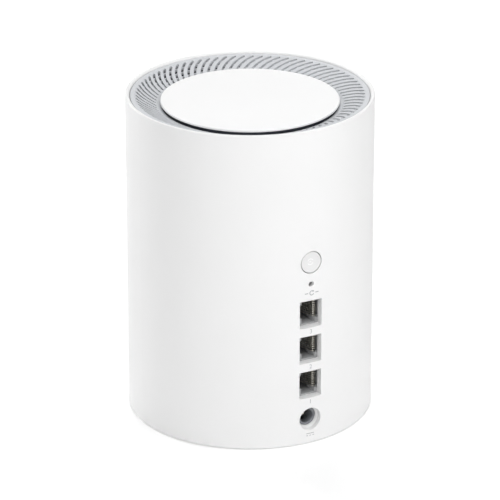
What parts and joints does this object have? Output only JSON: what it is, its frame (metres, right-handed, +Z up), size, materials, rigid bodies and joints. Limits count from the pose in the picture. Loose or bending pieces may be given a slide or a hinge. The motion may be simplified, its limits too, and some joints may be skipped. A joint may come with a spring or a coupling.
{
  "type": "mesh wifi node",
  "caption": "Upright cylindrical wifi node with a dished spiral-vent top, a column of network sockets, a power inlet, a sprung round button and a reset pinhole.",
  "frame": {"origin": "on the table plane, at the centre of the round footprint, under the rubber feet", "axes": "+Z up along the cylinder's axis, +Y out of the back where the sockets and the button face, -Y the front with the status light window"},
  "size_m": [0.11, 0.11, 0.1481],
  "materials": {
    "shell_white": "fine satin moulded ABS",
    "grille_grey": "light grey moulded ABS",
    "disc_white": "smooth satin moulded ABS",
    "frame_white": "moulded ABS and polycarbonate",
    "carrier_black": "black moulded ABS and polycarbonate",
    "base_white": "textured moulded ABS",
    "button_white": "satin moulded ABS",
    "foot_rubber": "moulded silicone rubber",
    "board_laminate": "glass epoxy with solder mask",
    "socket_grey": "glass-filled polyamide",
    "inlet_plastic": "moulded polyamide",
    "switch_black": "moulded polyamide",
    "plunger_plastic": "moulded acetal",
    "contact_gold": "gold-plated phosphor bronze",
    "nickel_plate": "nickel-plated brass",
    "sink_aluminium": "extruded and sawn aluminium",
    "can_aluminium": "drawn aluminium can",
    "shield_tin": "tin-plated pressed steel",
    "screw_steel": "zinc-plated steel",
    "chip_epoxy": "moulded epoxy",
    "ferrite_grey": "pressed metal composite",
    "thermal_pad": "filled silicone sheet",
    "led_resin": "cast epoxy",
    "clear_plastic": "polished clear polycarbonate",
    "cable_jacket": "fluoropolymer cable jacket",
    "antenna_laminate": "glass epoxy with copper strip"
  },
  "bodies": {
    "node": {"antenna_1": "antenna_laminate", "antenna_2": "antenna_laminate", "antenna_3": "antenna_laminate", "antenna_4": "antenna_laminate", "antenna_cable_1": "cable_jacket", "antenna_cable_2": "cable_jacket", "antenna_cable_3": "cable_jacket", "antenna_cable_4": "cable_jacket", "base_plate": "base_white", "base_screws": "screw_steel", "board_header": "switch_black", "button_board": "board_laminate", "button_board_screws": "screw_steel", "can_thermal_pad_1": "thermal_pad", "can_thermal_pad_2": "thermal_pad", "capacitors": "can_aluminium", "chassis_frame": "frame_white", "coax_connectors": "contact_gold", "cover_carrier": "carrier_black", "cover_screws": "screw_steel", "dc_jack_housing": "inlet_plastic", "dc_jack_pin": "nickel_plate", "dc_jack_spring": "nickel_plate", "heat_spreader": "sink_aluminium", "heatsink": "sink_aluminium", "heatsink_screws": "screw_steel", "lan_transformers": "chip_epoxy", "light_pipe": "clear_plastic", "main_pcb": "board_laminate", "memory_chips": "chip_epoxy", "outer_sleeve": "shell_white", "pairing_switch": "switch_black", "pcb_screws": "screw_steel", "power_inductors": "ferrite_grey", "reset_switch": "switch_black", "rj45_contacts_1": "contact_gold", "rj45_contacts_2": "contact_gold", "rj45_contacts_3": "contact_gold", "rj45_jack_1": "socket_grey", "rj45_jack_2": "socket_grey", "rj45_jack_3": "socket_grey", "rubber_foot_1": "foot_rubber", "rubber_foot_2": "foot_rubber", "rubber_foot_3": "foot_rubber", "rubber_foot_4": "foot_rubber", "shield_can_1": "shield_tin", "shield_can_2": "shield_tin", "soc_chip": "chip_epoxy", "soc_thermal_pad": "thermal_pad", "spreader_thermal_pad": "thermal_pad", "status_led": "led_resin", "switch_chip": "chip_epoxy", "top_disc": "disc_white", "vent_ring": "grille_grey", "wifi_chip_1": "chip_epoxy", "wifi_chip_2": "chip_epoxy"},
    "button": {"pairing_button": "button_white"},
    "pairing_switch_plunger": {"pairing_plunger": "plunger_plastic"},
    "reset_switch_plunger": {"reset_plunger": "plunger_plastic"}
  },
  "joints": [
    {"name": "pairing_button_press", "type": "slide", "parent": "node", "child": "button", "axis": [0, -1, 0], "range_m": [0, 0.0005], "stiffness_N_per_m": 500, "springref_m": -0.002},
    {"name": "pairing_switch_press", "type": "slide", "parent": "node", "child": "pairing_switch_plunger", "axis": [0, -1, 0], "range_m": [0, 0.0003], "stiffness_N_per_m": 100, "springref_m": -0.002},
    {"name": "reset_switch_press", "type": "slide", "parent": "node", "child": "reset_switch_plunger", "axis": [0, -1, 0], "range_m": [0, 0.0003], "stiffness_N_per_m": 500, "springref_m": -0.002}
  ],
  "couplings": [
    {"joint": "pairing_switch_press", "follows": "pairing_button_press", "ratio": 0.6}
  ]
}
